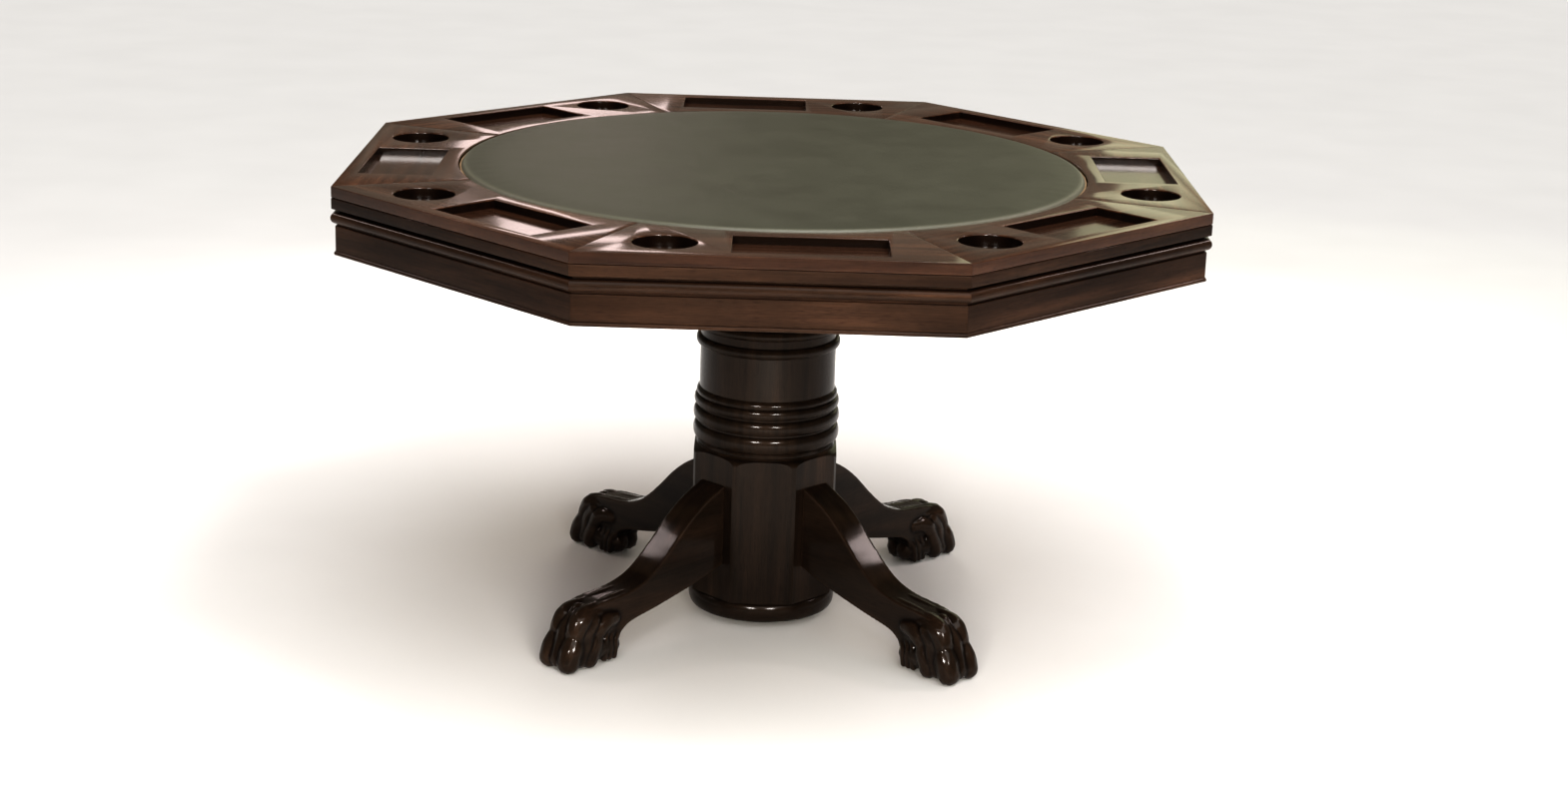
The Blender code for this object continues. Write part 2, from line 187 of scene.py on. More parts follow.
def paint(obj, material):
    obj.data.materials.clear()
    obj.data.materials.append(material)


def stand_in(obj, body, node, material):
    """Hand a finished piece over: its material, its body and the CAD node that it stands for."""
    paint(obj, material)
    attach(obj, body)
    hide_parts(node)
    return obj


# ---- node materials ----------------------------------------------------------------------------
class Nodes:
    """A short way to write a material's node tree."""

    def __init__(self, name):
        self.material = bpy.data.materials.new(name)
        self.material.use_nodes = True
        self.tree = self.material.node_tree
        self.shader = self.tree.nodes["Principled BSDF"]

    def add(self, kind, inputs=None, **settings):
        node = self.tree.nodes.new(kind)
        for key, value in settings.items():
            setattr(node, key, value)
        for key, value in (inputs or {}).items():
            self.feed(node.inputs[key], value)
        return node

    def feed(self, socket, value):
        if isinstance(value, bpy.types.NodeSocket):
            self.tree.links.new(value, socket)
        else:
            socket.default_value = value

    def place(self):
        return self.add("ShaderNodeTexCoord").outputs["Object"]

    def attribute(self, name, output="Vector"):
        return self.add("ShaderNodeAttribute", attribute_name=name).outputs[output]

    def noise(self, vector, scale, detail=4.0, roughness=0.5, distortion=0.0):
        node = self.add("ShaderNodeTexNoise", {
            "Vector": vector, "Scale": scale, "Detail": detail,
            "Roughness": roughness, "Distortion": distortion,
        })
        return node.outputs["Fac"]

    def stretched(self, vector, scale):
        return self.add("ShaderNodeMapping", {"Vector": vector, "Scale": scale}).outputs["Vector"]

    def flat(self, vector):
        return self.stretched(vector, (1.0, 1.0, 0.0))

    def ramp(self, factor, stops):
        node = self.add("ShaderNodeValToRGB", {"Fac": factor})
        elements = node.color_ramp.elements
        while len(elements) < len(stops):
            elements.new(0.5)
        for element, (place, colour) in zip(elements, stops):
            element.position = place
            element.color = (*colour, 1.0)
        return node.outputs["Color"]

    def grey(self, factor, stops):
        return self.ramp(factor, [(place, (value, value, value)) for place, value in stops])

    def mix(self, factor, first, second, blend="MIX"):
        node = self.add("ShaderNodeMix", data_type="RGBA", blend_type=blend)
        self.feed(node.inputs[0], factor)
        self.feed(node.inputs[6], first)
        self.feed(node.inputs[7], second)
        return node.outputs[2]

    def math(self, operation, first, second=0.0):
        node = self.add("ShaderNodeMath", operation=operation)
        self.feed(node.inputs[0], first)
        self.feed(node.inputs[1], second)
        return node.outputs[0]

    def weighted(self, *parts):
        """Add up sockets, each times its weight."""
        total = None
        for socket, weight in parts:
            part = self.math("MULTIPLY", socket, weight)
            total = part if total is None else self.math("ADD", total, part)
        return total

    def bump(self, height, distance, strength=1.0, under=None):
        inputs = {"Height": height, "Distance": distance, "Strength": strength}
        if under is not None:
            inputs["Normal"] = under
        return self.add("ShaderNodeBump", inputs).outputs["Normal"]

    def set(self, **values):
        names = {
            "colour": "Base Color", "roughness": "Roughness", "metallic": "Metallic",
            "normal": "Normal", "specular": "Specular IOR Level", "coat": "Coat Weight",
            "coat_roughness": "Coat Roughness", "coat_normal": "Coat Normal",
        }
        for key, value in values.items():
            self.feed(self.shader.inputs[names[key]], value)
        return self.material


BLOTCH_TINT = (0.52, 0.50, 0.48, 1.0)
# Near-black for grooves and routed hollows: partly stain and glaze, partly painted shade.
GROOVE_STAIN_AND_SHADE = (0.0035, 0.0020, 0.0016, 1.0)
PORE_DEPTH, RIPPLE_DEPTH = 0.00006, 0.00010
LACQUER_IOR = 1.36
WARM_GLOSS = (0.95, 0.62, 0.42, 1.0)


def lacquered_wood(name, dark, mid, light, coat, coat_roughness, figure=1.0, relief=False):
    """Stained cherry under lacquer: broad figure, fibres, pores, and a coat with slight ripple."""
    n = Nodes(name)
    grain = n.attribute("grain")
    broad = n.noise(n.stretched(grain, (1.3, 13.0, 13.0)), 1.0, 4.0, 0.55, 1.6)
    bands = n.add("ShaderNodeTexWave", {
        "Vector": n.stretched(grain, (0.45, 7.0, 5.5)), "Scale": 2.1, "Distortion": 11.0,
        "Detail": 4.0, "Detail Scale": 1.1, "Detail Roughness": 0.62,
    }, wave_type="BANDS", bands_direction="Y").outputs["Fac"]
    fibres = n.noise(n.stretched(grain, (16.0, 520.0, 520.0)), 1.0, 4.0, 0.62)
    pores = n.noise(n.stretched(grain, (60.0, 1700.0, 1700.0)), 1.0, 1.0, 0.5)
    blotch = n.noise(grain, 4.6, 3.0, 0.5)

    figured = n.weighted((broad, 0.62), (bands, 0.14 * figure), (fibres, 0.26))
    colour = n.ramp(figured, [(0.36, dark), (0.54, mid), (0.72, light)])
    shaded = n.mix(1.0, colour, BLOTCH_TINT, "MULTIPLY")
    colour = n.mix(n.grey(blotch, [(0.34, 0.0), (0.68, 0.8)]), colour, shaded)
    filled = (*[c * 0.3 for c in dark], 1.0)
    colour = n.mix(n.grey(pores, [(0.57, 0.0), (0.70, 0.7)]), colour, filled)
    if relief:
        # Partly glaze, partly painted shade and painted highlight: deep points darken towards
        # near-black, and ridges lighten.
        depth = n.attribute("relief", "Fac")
        colour = n.mix(n.grey(depth, [(0.52, 0.0), (0.90, 0.88)]), colour, GROOVE_STAIN_AND_SHADE)
        colour = n.mix(n.grey(depth, [(0.05, 0.14), (0.35, 0.0)]), colour, (*light, 1.0))

    ripple = n.noise(grain, 38.0, 2.0, 0.5)
    pore_bump = n.bump(n.grey(pores, [(0.55, 1.0), (0.72, 0.0)]), PORE_DEPTH)
    coat_bump = n.bump(n.math("ADD", ripple, n.math("MULTIPLY", fibres, 0.12)), RIPPLE_DEPTH, 0.7)
    smear = n.noise(n.stretched(grain, (5.0, 9.0, 9.0)), 1.0, 3.0, 0.6)
    n.shader.inputs["Coat IOR"].default_value = LACQUER_IOR
    n.shader.inputs["Specular Tint"].default_value = WARM_GLOSS
    return n.set(
        colour=colour, roughness=n.grey(smear, [(0.3, 0.38), (0.7, 0.54)]), specular=0.06,
        normal=pore_bump, coat=coat, coat_roughness=coat_roughness, coat_normal=coat_bump,
    )


def raw_wood():
    n = Nodes("planed_pine")
    place = n.place()
    broad = n.noise(n.stretched(place, (2.5, 24.0, 24.0)), 1.0, 3.0, 0.6, 1.2)
    fibres = n.noise(n.stretched(place, (20.0, 500.0, 500.0)), 1.0, 3.0, 0.6)
    colour = n.ramp(n.weighted((broad, 0.7), (fibres, 0.3)), [
        (0.30, (0.26, 0.155, 0.075)), (0.55, (0.45, 0.30, 0.165)), (0.78, (0.58, 0.42, 0.25)),
    ])
    return n.set(
        colour=colour, roughness=n.grey(fibres, [(0.3, 0.55), (0.7, 0.8)]), specular=0.3,
        normal=n.bump(fibres, 0.00025),
    )


def fibreboard():
    n = Nodes("fibreboard")
    place = n.place()
    speck = n.noise(place, 900.0, 3.0, 0.7)
    cloud = n.noise(place, 30.0, 3.0, 0.5)
    mixed = n.weighted((speck, 0.6), (cloud, 0.4))
    colour = n.ramp(mixed, [(0.35, (0.20, 0.125, 0.065)), (0.65, (0.40, 0.28, 0.165))])
    return n.set(
        colour=colour, roughness=n.grey(speck, [(0.3, 0.7), (0.7, 0.9)]),
        normal=n.bump(speck, 0.0003),
    )


def plated_steel():
    n = Nodes("zinc_plated_steel")
    place = n.place()
    spangle = n.add("ShaderNodeTexVoronoi", {"Vector": place, "Scale": 260.0}).outputs["Distance"]
    scuff = n.noise(n.stretched(place, (90.0, 90.0, 600.0)), 1.0, 3.0, 0.6)
    colour = n.ramp(spangle, [(0.2, (0.46, 0.46, 0.44)), (0.8, (0.66, 0.66, 0.63))])
    return n.set(
        colour=colour, metallic=1.0, roughness=n.grey(scuff, [(0.3, 0.24), (0.7, 0.46)]),
        normal=n.bump(scuff, 0.00008),
    )


def moulded_nylon():
    n = Nodes("moulded_nylon")
    place = n.place()
    pebble = n.noise(place, 1400.0, 2.0, 0.5)
    dirt = n.noise(place, 140.0, 3.0, 0.6)
    colour = n.ramp(dirt, [(0.3, (0.36, 0.34, 0.29)), (0.7, (0.56, 0.54, 0.48))])
    return n.set(
        colour=colour, roughness=n.grey(dirt, [(0.3, 0.4), (0.7, 0.62)]),
        normal=n.bump(pebble, 0.0001),
    )


# Where the painted highlight round the pad's edge starts, and where it reaches full strength.
EDGE_SHEEN_START, EDGE_SHEEN_END = PAD_RADIUS - 0.0125, PAD_RADIUS - 0.0065


def grained_vinyl():
    """Dark olive vinyl: pebbled grain, fine creases, soft mottling, and a painted highlight: a
    lighter band round the rolled edge.
    """
    n = Nodes("playing_vinyl")
    place = n.place()
    mottle = n.noise(place, 14.0, 5.0, 0.6)
    cloud = n.noise(place, 3.2, 2.0, 0.5)
    pebble = n.add("ShaderNodeTexVoronoi", {
        "Vector": place, "Scale": 640.0, "Randomness": 0.9,
    }, feature="SMOOTH_F1").outputs["Distance"]
    crease = n.noise(place, 330.0, 3.0, 0.55)
    base = n.ramp(mottle, [(0.30, (0.041, 0.043, 0.029)), (0.70, (0.053, 0.055, 0.038))])
    base = n.mix(n.grey(cloud, [(0.35, 0.0), (0.7, 0.14)]), base, (0.075, 0.078, 0.056, 1.0))
    # Painted highlight: a lighter band round the pad's rolled edge, with a ragged inner line.
    reach = n.add("ShaderNodeVectorMath", {0: n.flat(place)}, operation="LENGTH").outputs["Value"]
    ragged = n.math("MULTIPLY", n.math("SUBTRACT", crease, 0.5), 0.004)
    painted_edge_sheen = n.grey(n.math("ADD", reach, ragged), [(EDGE_SHEEN_START, 0.0), (EDGE_SHEEN_END, 0.60)])
    base = n.mix(painted_edge_sheen, base, (0.150, 0.148, 0.112, 1.0))
    both = n.bump(crease, 0.00020, 0.6, under=n.bump(pebble, 0.00022, 0.7))
    worn = n.weighted((mottle, 0.6), (cloud, 0.4))
    return n.set(
        colour=base, roughness=n.grey(worn, [(0.35, 0.46), (0.65, 0.52)]), specular=0.5,
        normal=both,
    )


# Three tones of the one cherry. The edge and base tones are darker than the top partly as the
# wood's own tone, and partly as painted shade for the vertical faces and for the parts under the
# table.
CHERRY = {
    "top_wood": ((0.032, 0.0140, 0.0078), (0.080, 0.0365, 0.0205), (0.150, 0.072, 0.0390)),
    "edge_wood": ((0.012, 0.0070, 0.0049), (0.033, 0.0178, 0.0112), (0.072, 0.037, 0.0225)),
    "base_wood": ((0.0085, 0.0062, 0.0047), (0.0205, 0.0132, 0.0092), (0.048, 0.028, 0.0182)),
}
TOP_WOOD = lacquered_wood("top_wood", *CHERRY["top_wood"], 0.9, 0.12, 0.6, relief=True)
EDGE_WOOD = lacquered_wood("edge_wood", *CHERRY["edge_wood"], 0.45, 0.12, 0.7)
BASE_WOOD = lacquered_wood("base_wood", *CHERRY["base_wood"], 0.60, 0.14, 0.3)
LEG_WOOD = lacquered_wood("leg_wood", *CHERRY["base_wood"], 0.65, 0.12, 0.4, relief=True)


# ---- the loose top -----------------------------------------------------------------------------
CUP_CENTRE = (0.594, -0.150)
CUP_RADIUS = 0.0465
TRAY_OUT = (0.535, 0.650)
TRAY_SIDE = (-0.055, 0.168)
TRAY_DEPTH = 0.013
FIELD_RADIUS = 0.5085
EDGE_ROUND = 0.0018
EDGE_STEPS = 4
MITRE_ROUND = 0.22                      # share of EDGE_ROUND on the mitre lines
NEAR = 1e-5
# How dark each face is painted: the routed floors and walls partly by stain, partly as painted
# shade; the outer edges as painted shade.
PLAIN, FLOOR_STAIN_AND_SHADE, OUTER_PAINTED_SHADE, WALL_STAIN_AND_SHADE = 0.5, 0.68, 0.70, 0.92


def stain_and_shade_board(mesh):
    """Write how dark each face is: routed floors and walls partly by stain and partly as painted
    shade, outer edges as painted shade.
    """
    relief = mesh.attributes.new("relief", "FLOAT", "FACE")
    for face, value in zip(mesh.polygons, relief.data):
        sunk = face.center.z < RIM_TOP - 0.0022
        inside = face.center.x < APOTHEM - 0.005 and face.normal.z > -0.5
        on_mitre = abs(abs(face.center.y) - face.center.x * HALF_TAN) < 0.002
        if sunk and inside and not on_mitre:
            value.value = FLOOR_STAIN_AND_SHADE if face.normal.z > 0.9 else WALL_STAIN_AND_SHADE
        elif face.normal.x > 0.9 and face.center.x > APOTHEM - 0.001:
            value.value = OUTER_PAINTED_SHADE
        else:
            value.value = PLAIN


def rim_board(name):
    """One mitred board, local +X outward, with its well, its tray and rounded edges."""
    outer = APOTHEM * HALF_TAN - MITRE_GAP
    inner_half = math.degrees(math.atan(HALF_TAN) - MITRE_GAP / FIELD_RADIUS)
    outline = [(APOTHEM, -outer), (APOTHEM, outer)]
    outline += arc((0, 0), FIELD_RADIUS, inner_half, -inner_half, 40)
    board = to_object(name, prism(outline, SPLIT, RIM_TOP))
    under, over = SPLIT - 0.01, RIM_TOP + 0.01
    cup = to_object("cup_cut", prism(arc(CUP_CENTRE, CUP_RADIUS, 0, 355, 71), under, over))
    corners = [(TRAY_OUT[a], TRAY_SIDE[b]) for a, b in ((0, 0), (1, 0), (1, 1), (0, 1))]
    tray = to_object("tray_cut", prism(corners, RIM_TOP - TRAY_DEPTH, over))
    combine(board, [cup, tray], "DIFFERENCE")

    bm = bmesh.new()
    bm.from_mesh(board.data)
    weight = bm.edges.layers.float.new("bevel_weight_edge")
    for edge in bm.edges:
        if len(edge.link_faces) != 2 or edge.calc_face_angle(0.0) < math.radians(40):
            continue
        ends = [vert.co for vert in edge.verts]
        on_top = all(abs(co.z - RIM_TOP) < NEAR for co in ends)
        on_mitre = all(abs(abs(co.y) - co.x * HALF_TAN) < 0.001 for co in ends)
        outside = all(co.x > APOTHEM - NEAR for co in ends)
        if on_top and on_mitre:
            edge[weight] = MITRE_ROUND
        elif on_top or (outside and abs(ends[0].z - ends[1].z) < NEAR):
            edge[weight] = 1.0
    bm.to_mesh(board.data)
    bm.free()
    round_over = board.modifiers.new("round_over", "BEVEL")
    round_over.limit_method = "WEIGHT"
    round_over.width = EDGE_ROUND
    round_over.segments = EDGE_STEPS
    settle(board)
    stain_and_shade_board(board.data)
    return smooth(board, 35)


def octagon(apothem):
    """Corners of an octagon with a flat side facing +X and -Y."""
    corner = apothem / math.cos(math.pi / SIDES)
    turns = [2.0 * math.pi * (i + 0.5) / SIDES for i in range(SIDES)]
    return [(corner * math.cos(t), corner * math.sin(t)) for t in turns]


def dining_panel(name):
    """The plain lower layer, with its long edges rounded and grain run along each side."""
    panel = to_object(name, prism(octagon(APOTHEM), PANEL_BOTTOM, PANEL_TOP))
    bm = bmesh.new()
    bm.from_mesh(panel.data)
    edges = [e for e in bm.edges if abs(e.verts[0].co.z - e.verts[1].co.z) < 1e-6]
    bmesh.ops.bevel(
        bm, geom=edges, offset=EDGE_ROUND, segments=EDGE_STEPS, profile=0.5, affect="EDGES",
    )
    bm.to_mesh(panel.data)
    bm.free()
    mesh = panel.data
    grain = mesh.attributes.new("grain", "FLOAT_VECTOR", "CORNER")
    values = np.zeros((len(mesh.loops), 3))
    for face in mesh.polygons:
        for loop in face.loop_indices:
            co = mesh.vertices[mesh.loops[loop].vertex_index].co
            flat = abs(face.normal.z) > 0.999
            turn = math.atan2(face.normal.y, face.normal.x)
            along = co.x if flat else co.y * math.cos(turn) - co.x * math.sin(turn)
            values[loop] = (along, co.y if flat else turn * 3.0, co.z)
    grain.data.foreach_set("vector", values.ravel())
    return smooth(panel, 35)


PAD_SIDES = 180
PAD_RINGS = 26
FLAT_SPAN, TURN_IN = 0.46, 0.02
ROLL_RADIUS = 0.0072                    # of the edge, before it is blown up
START_RADIUS, START_TOP = PAD_RADIUS - 0.0022, PAD_TOP - 0.0006
FOOT = PAD_BOTTOM + 0.0002
PRESSURE = 4.0
SIM_FRAMES = 15
FOAM_CAP = 0.0014
PUCKERS = ((97, 0.0, 0.5), (61, 1.3, 0.3), (143, 0.4, 0.2))    # waves round, phase, share
PUCKER_HEIGHT, SOFT_HEIGHT = 0.00016, 0.00022


def pad_blank(name):
    """The pad's skin before it is blown up: a flat disc, a rolled edge and a turned-in foot."""
    flat = START_RADIUS - ROLL_RADIUS
    profile = [(flat - FLAT_SPAN * (1 - i / PAD_RINGS), START_TOP) for i in range(PAD_RINGS)]
    profile += arc((flat, START_TOP - ROLL_RADIUS), ROLL_RADIUS, 90, 0, 7)
    profile += [(START_RADIUS, FOOT), (START_RADIUS - TURN_IN, FOOT)]
    turns = [2.0 * math.pi * i / PAD_SIDES for i in range(PAD_SIDES)]
    bm = bmesh.new()
    rings = []
    for r, z in profile:
        rings.append([bm.verts.new((r * math.cos(t), r * math.sin(t), z)) for t in turns])
    stretch(bm, rings, closed=False)
    for ring in (rings[0], rings[-1]):
        hub = bm.verts.new((0.0, 0.0, ring[0].co.z))
        for j in range(PAD_SIDES):
            bm.faces.new((hub, ring[j], ring[(j + 1) % PAD_SIDES]))
    return to_object(name, bm)


def blow_up(pad, rest):
    """Cloth simulation under pressure alone, with the foot held where it is stapled."""
    held = pad.vertex_groups.new(name="stapled")
    held.add([i for i, co in enumerate(rest) if co[2] < PAD_BOTTOM + 0.0005], 1.0, "REPLACE")
    cloth = pad.modifiers.new("skin", "CLOTH")
    cloth.settings.vertex_group_mass = "stapled"
    cloth.settings.effector_weights.gravity = 0.0
    cloth.settings.use_pressure = True
    cloth.settings.uniform_pressure_force = PRESSURE
    cloth.settings.quality = 4
    cloth.collision_settings.use_self_collision = False
    scene = bpy.context.scene
    for step in range(1, SIM_FRAMES + 1):
        scene.frame_set(step)
    settle(pad)
    scene.frame_set(1)


def playing_pad(name):
    """Vinyl over thin foam on a disc, pulled down and stapled under its rim.

    The skin is blown up by a cloth simulation from a slightly smaller shape, and a foam-thin cap
    holds how far it rises; small puckers run round the rolled edge.
    """
    pad = pad_blank(name)
    rest = np.array([vert.co for vert in pad.data.vertices])
    blow_up(pad, rest)

    blown = np.array([vert.co for vert in pad.data.vertices])
    shift = blown - rest
    length = np.linalg.norm(shift, axis=1, keepdims=True)
    shift *= FOAM_CAP * np.tanh(length / FOAM_CAP) / np.maximum(length, 1e-9)
    out = np.hypot(rest[:, 0], rest[:, 1])
    turn = np.arctan2(rest[:, 1], rest[:, 0])
    pucker = sum(np.sin(turn * waves + phase) * share for waves, phase, share in PUCKERS)
    on_face = rest[:, 2] > PAD_BOTTOM + 0.001
    edge = np.clip((out - (PAD_RADIUS - 0.020)) / 0.016, 0.0, 1.0) * on_face
    soft = np.sin(rest[:, 0] * 23 + 0.7) * np.sin(rest[:, 1] * 19 + 0.2)
    done = rest + shift
    done[:, 2] += PUCKER_HEIGHT * pucker * edge + SOFT_HEIGHT * soft * (1 - edge)
    reach = np.hypot(done[:, 0], done[:, 1])
    scale = np.minimum(1.0, (PAD_RADIUS + 0.0004) / np.maximum(reach, 1e-9))
    done[:, :2] *= scale[:, None]
    for vert, co in zip(pad.data.vertices, done):
        vert.co = co
    finer = pad.modifiers.new("finer", "SUBSURF")
    finer.levels = 1
    finer.render_levels = 1
    settle(pad)
    pad.data.shade_smooth()
    return pad


def build_top():
    for k in range(SIDES):
        board = rim_board(f"rim_board_{k + 1}")
        give_grain(board.data, "y", k + 1)
        board.matrix_world = facing(360.0 / SIDES * k)
        stand_in(board, "top", f"rim_segment_{k + 1}", TOP_WOOD)
    stand_in(dining_panel("dining_face"), "top", "dining_panel", EDGE_WOOD)
    pad = playing_pad("padded_field")
    stand_in(pad, "top", "playing_pad", grained_vinyl())
    paint(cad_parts["playing_board"], fibreboard())


# ---- the box -----------------------------------------------------------------------------------
def moulding(name, section):
    """Run a closed section of (outward, z) points along one side, with both ends mitred."""
    bm = bmesh.new()
    ends = []
    for sign in (-1, 1):
        ends.append([bm.verts.new((u, sign * (u * HALF_TAN - MITRE_GAP), z)) for u, z in section])
    stretch(bm, ends, closed=False)
    bm.faces.new(ends[0])
    bm.faces.new(ends[1])
    return smooth(to_object(name, bm), 38)


def rail_section():
    """A flat inner strip, the low landing that the top rests on, and the half-round nose."""
    nose_top = NOSE_BOTTOM + 0.018
    radius = (nose_top - NOSE_BOTTOM) / 2.0
    nose = arc((NOSE_OUT - radius, NOSE_BOTTOM + radius), radius, 90, -90, 18)
    inner, landing = APOTHEM - 0.070, APOTHEM - 0.0115
    step = [(inner, LANDING_TOP)] + arc((landing - 0.001, LANDING_TOP - 0.001), 0.001, 90, 0, 3)
    return step + [(landing, nose_top)] + nose + [(inner, NOSE_BOTTOM)]


def apron_section():
    """A plain board with a small set-back on top and a rolled bead along its lower edge."""
    face = APRON_OUT - 0.0025
    back = face - 0.020
    quirk = face - 0.0035
    corner, swell = 0.0016, 0.0032
    step_top, bead_top = APRON_TOP - 0.0027, APRON_BOTTOM + 0.0068
    middle = (bead_top + APRON_BOTTOM) / 2.0
    half = (bead_top - APRON_BOTTOM) / 2.0 - 0.0002
    turns = [math.radians(72 - 12 * i) for i in range(13)]
    rolled = [
        (APRON_OUT - swell + swell * math.cos(t), middle + half * math.sin(t)) for t in turns
    ]
    section = [(back, APRON_TOP), (quirk, APRON_TOP), (quirk, step_top)]
    section += arc((face - corner, step_top - corner), corner, 90, 0, 4)
    section += [(face, bead_top + 0.0006), (face - 0.0006, bead_top)]
    return section + rolled + [(back, APRON_BOTTOM)]


def build_box(pine):
    for k in range(SIDES):
        turn = facing(360.0 / SIDES * k)
        rail = moulding(f"nose_rail_{k + 1}", rail_section())
        give_grain(rail.data, "y", k + 11)
        rail.matrix_world = turn
        stand_in(rail, "base", f"rim_rail_{k + 1}", EDGE_WOOD)
        apron = moulding(f"beaded_apron_{k + 1}", apron_section())
        give_grain(apron.data, "y", k + 21)
        apron.matrix_world = turn
        stand_in(apron, "base", f"apron_board_{k + 1}", EDGE_WOOD)
    blocks = [f"corner_block_{k + 1}" for k in range(SIDES)]
    for name in blocks + ["bearer_front", "bearer_back", "head_plate"]:
        paint(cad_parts[name], pine)


# ---- the column --------------------------------------------------------------------------------
TURNED_STEPS = 128
BORE = 0.060
CAP_RADIUS, NECK_RADIUS, DRUM_RADIUS, COLLAR_RADIUS = 0.155, 0.110, 0.1125, 0.1150
DRUM_RING, COLLAR_RING = 0.1195, 0.1215
BASE_BEAD = 0.007
ROD_HOLE, NUT_POCKET, POCKET_TOP = 0.0066, 0.015, 0.026


def column_piece(name, outside, node, seed):
    """Turn a bored piece from its outside section, top to bottom, and hand it over."""
    top, bottom = high(node).z, low(node).z
    piece = to_object(name, turned([(BORE, bottom), (BORE, top)] + outside, TURNED_STEPS))
    smooth(piece, 50)
    give_grain(piece.data, "z", seed)
    return stand_in(piece, "base", node, BASE_WOOD)


def build_column():
    cap_low, cap_top = low("pedestal_cap").z, high("pedestal_cap").z
    cove = arc((0.151, 0.578), 0.040, 180, 100, 14)
    cap = [(CAP_RADIUS, cap_top), (CAP_RADIUS, 0.622)] + cove[::-1] + [(NECK_RADIUS, cap_low)]
    column_piece("column_cap", cap, "pedestal_cap", 41)
    neck = [(NECK_RADIUS, high("pedestal_neck").z), (NECK_RADIUS, low("pedestal_neck").z)]
    column_piece("column_neck", neck, "pedestal_neck", 46)

    drum_top, drum_low = high("pedestal_drum").z, low("pedestal_drum").z
    drum = [(0.111, drum_top)] + bead(0.112, DRUM_RING, 0.5095, 0.4935)
    drum += bead(DRUM_RADIUS, DRUM_RING, 0.4810, 0.4635) + [(DRUM_RADIUS, drum_low)]
    column_piece("column_drum", drum, "pedestal_drum", 42)

    collar_top, collar_low = high("pedestal_collar").z, low("pedestal_collar").z
    collar = [(DRUM_RADIUS, collar_top), (0.1140, 0.3902), (0.1160, 0.3880), (0.1170, 0.3850)]
    collar += [(0.1172, 0.3820), (0.1165, 0.3795)] + bead(0.1155, 0.1205, 0.3785, 0.3612)
    collar += bead(COLLAR_RADIUS, COLLAR_RING, 0.3580, 0.3345)
    collar += bead(COLLAR_RADIUS, COLLAR_RING, 0.3318, 0.3040)
    collar += [(0.1135, 0.3020), (0.1130, collar_low)]
    column_piece("column_collar", collar, "pedestal_collar", 43)

    post_top, post_low = high("pedestal_post").z, low("pedestal_post").z
    post_section = [(BORE, post_low), (BORE, post_top), (0.1135, post_top), (0.1150, 0.2935)]
    post_section += arc((0.1170, 0.2820), 0.0095, 80, 0, 8) + [(0.1265, post_low)]
    post = to_object("column_post", turned(post_section, TURNED_STEPS))
    flats = to_object("post_flats", prism(octagon(high("pedestal_post").x), 0.0, 0.4))
    combine(post, [flats], "INTERSECT")
    smooth(post, 12)
    give_grain(post.data, "z", 44)
    stand_in(post, "base", "pedestal_post", BASE_WOOD)

    base_top, base_low = high("pedestal_base").z, low("pedestal_base").z
    outer = high("pedestal_base").x
    section = [(ROD_HOLE, base_top), (outer - BASE_BEAD, base_top)]
    section += bead(outer - BASE_BEAD, outer, base_top - 0.0015, base_low, 16)
    section += [(NUT_POCKET, base_low), (NUT_POCKET, POCKET_TOP), (ROD_HOLE, POCKET_TOP)]
    base = smooth(to_object("column_base", turned(section, TURNED_STEPS)), 50)
    give_grain(base.data, "x", 45)
    stand_in(base, "base", "pedestal_base", BASE_WOOD)


# ---- the carved legs ---------------------------------------------------------------------------
LEG_AZIMUTHS = {"front_left": -45, "front_right": 45, "back_right": 135, "back_left": 225}
LEG_HALF = 0.0275
VOXEL = 0.0017
SOLE = 0.0022
EVENING_ROUNDS = 14
RELIEF_REACH = 0.0006


def through(points, steps):
    """A smooth curve through points of any dimension (Catmull-Rom), steps for each stretch."""
    pts = np.array(points, float)
    pts = np.vstack([2 * pts[0] - pts[1], pts, 2 * pts[-1] - pts[-2]])
    out = []
    for i in range(1, len(pts) - 2):
        a, b, c, d = pts[i - 1:i + 3]
        for s in range(steps):
            t = s / steps
            out.append(0.5 * (2 * b + (c - a) * t + (2 * a - 5 * b + 4 * c - d) * t ** 2
                              + (3 * b - a - 3 * c + d) * t ** 3))
    out.append(pts[-2])
    return np.array(out)


def leg_blank():
    """The sawn S-curve, full thickness, running into the paw's body."""
    root = high("pedestal_post").x + 0.0003
    top = through([
        (root, 0.244), (0.140, 0.235), (0.165, 0.2215), (0.190, 0.2035), (0.213, 0.1825),
        (0.236, 0.160), (0.262, 0.1375), (0.290, 0.1195), (0.330, 0.1080), (0.385, 0.1030),
        (0.418, 0.0960),
    ], 5)
    under = through([
        (0.425, 0.060), (0.400, 0.030), (0.352, 0.030), (0.340, 0.046), (0.318, 0.0585),
        (0.262, 0.0700), (0.190, 0.0870), (0.150, 0.0980), (root, 0.1090),
    ], 5)
    outline = [tuple(p) for p in top] + [tuple(p) for p in under]
    bm = prism(outline, -LEG_HALF, LEG_HALF)
    bm.transform(Matrix.Rotation(math.pi / 2.0, 4, "X"))
    return bm


def knob_chain(route):
    """Centres and radii of overlapping balls along a route of (x, y, z, radius) points."""
    return [(Vector(p[:3]), p[3]) for p in through(route, 9)]


